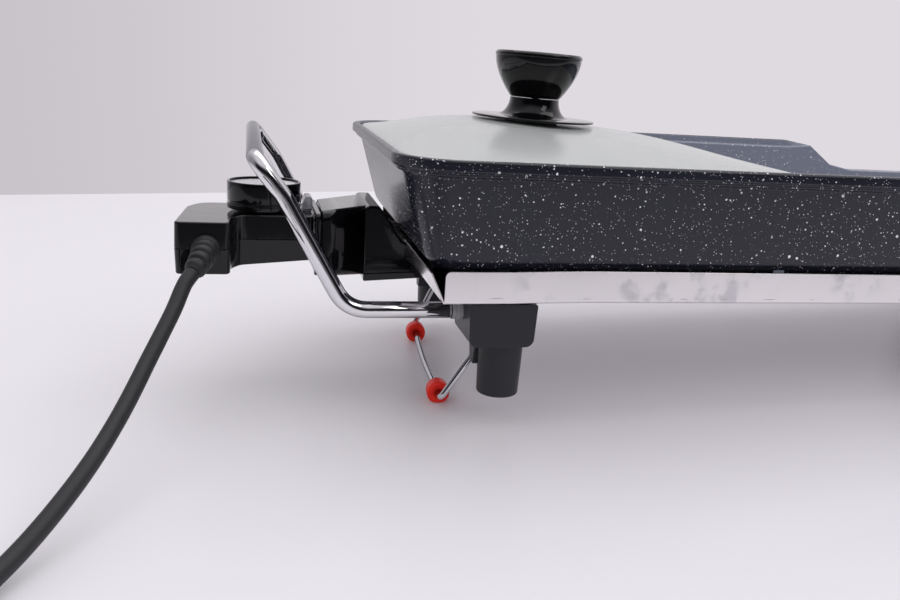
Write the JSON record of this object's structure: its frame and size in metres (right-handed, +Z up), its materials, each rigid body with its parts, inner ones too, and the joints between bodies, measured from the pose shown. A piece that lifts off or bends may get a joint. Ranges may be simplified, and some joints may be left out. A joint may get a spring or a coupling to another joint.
{
  "type": "electric table grill",
  "caption": "Long electric table grill: cast pan with a lift-off glass lid, steel tray on legs, wire handles, a fold-out tilt stand and a plug-in thermostat.",
  "frame": {"origin": "centre of the object's bounding box without the cord, on the table it stands on", "axes": "+X along the grill away from the thermostat, +Y from the front long side to the rear one, +Z up; the grill stands tipped 2.3 degrees on its wire stand, thermostat end up"},
  "size_m": [0.9378, 0.5253, 0.2017],
  "materials": {
    "stone_coating": "dark grey speckled non-stick coating over cast aluminium, satin",
    "polished_steel": "bright polished sheet steel",
    "chrome": "bright chrome plating",
    "bakelite": "black heat-resistant moulding, satin",
    "gloss_black": "glossy black",
    "cord_rubber": "matte black",
    "red_silicone": "saturated red, satin",
    "lid_glass": "clear, greyish where it reflects",
    "contact_metal": "plain",
    "zinc_steel": "zinc plated",
    "ceramic": "unglazed ceramic",
    "dial_face": "pale, glossy",
    "smoke_lens": "grey translucent, glossy"
  },
  "bodies": {
    "grill": {"pan": "stone_coating", "base_tray": "polished_steel", "leg_left_front": "bakelite", "leg_left_rear": "bakelite", "leg_right_front": "bakelite", "leg_right_rear": "bakelite", "terminal_shroud": "bakelite", "leg_screw_left_front": "zinc_steel", "leg_screw_left_rear": "zinc_steel", "leg_screw_right_front": "zinc_steel", "leg_screw_right_rear": "zinc_steel", "base_screw_left_front": "zinc_steel", "base_screw_left_rear": "zinc_steel", "base_screw_right_front": "zinc_steel", "base_screw_right_rear": "zinc_steel", "shroud_screw_front": "zinc_steel", "shroud_screw_rear": "zinc_steel", "heating_element": "zinc_steel", "handle_left": "chrome", "handle_right": "chrome", "terminal_pin_front": "contact_metal", "terminal_pin_rear": "contact_metal", "terminal_insulator_front": "ceramic", "terminal_insulator_rear": "ceramic"},
    "lid": {"lid_glass": "lid_glass", "knob": "gloss_black", "knob_cap": "gloss_black", "knob_skirt": "gloss_black", "lid_gasket": "cord_rubber", "lid_washer": "cord_rubber", "knob_screw": "zinc_steel"},
    "thermostat": {"thermostat_lower": "gloss_black", "thermostat_upper": "gloss_black", "housing_screw_1": "zinc_steel", "housing_screw_2": "zinc_steel", "thermostat_nose": "bakelite", "probe_rod": "zinc_steel", "contact_sleeve_front": "contact_metal", "contact_sleeve_rear": "contact_metal", "switch_block": "ceramic", "pilot_lens": "smoke_lens", "strain_relief": "cord_rubber", "cord": "cord_rubber", "cord_coil": "cord_rubber", "coil_tie": "cord_rubber", "plug_body": "cord_rubber", "plug_pin_1": "contact_metal", "plug_pin_2": "contact_metal"},
    "dial": {"dial": "gloss_black", "dial_face": "dial_face", "dial_shaft": "zinc_steel"},
    "stand": {"tilt_stand": "chrome", "bead_front": "red_silicone", "bead_rear": "red_silicone"}
  },
  "joints": [
    {"name": "lid_lift", "type": "slide", "parent": "grill", "child": "lid", "axis": [0.0402, 0, 0.9992], "range_m": [0, 0.15]},
    {"name": "thermostat_pull", "type": "slide", "parent": "grill", "child": "thermostat", "axis": [-0.9992, 0, 0.0402], "range_m": [0, 0.085]},
    {"name": "dial_turn", "type": "hinge", "parent": "thermostat", "child": "dial", "pos_m": [-0.32184, 0, 0.1065], "axis": [0.0402, 0, 0.9992], "range_deg": [0, 270]},
    {"name": "stand_fold", "type": "hinge", "parent": "grill", "child": "stand", "pos_m": [-0.19667, 0, 0.04871], "axis": [0, -1, 0], "range_deg": [0, 105]}
  ]
}
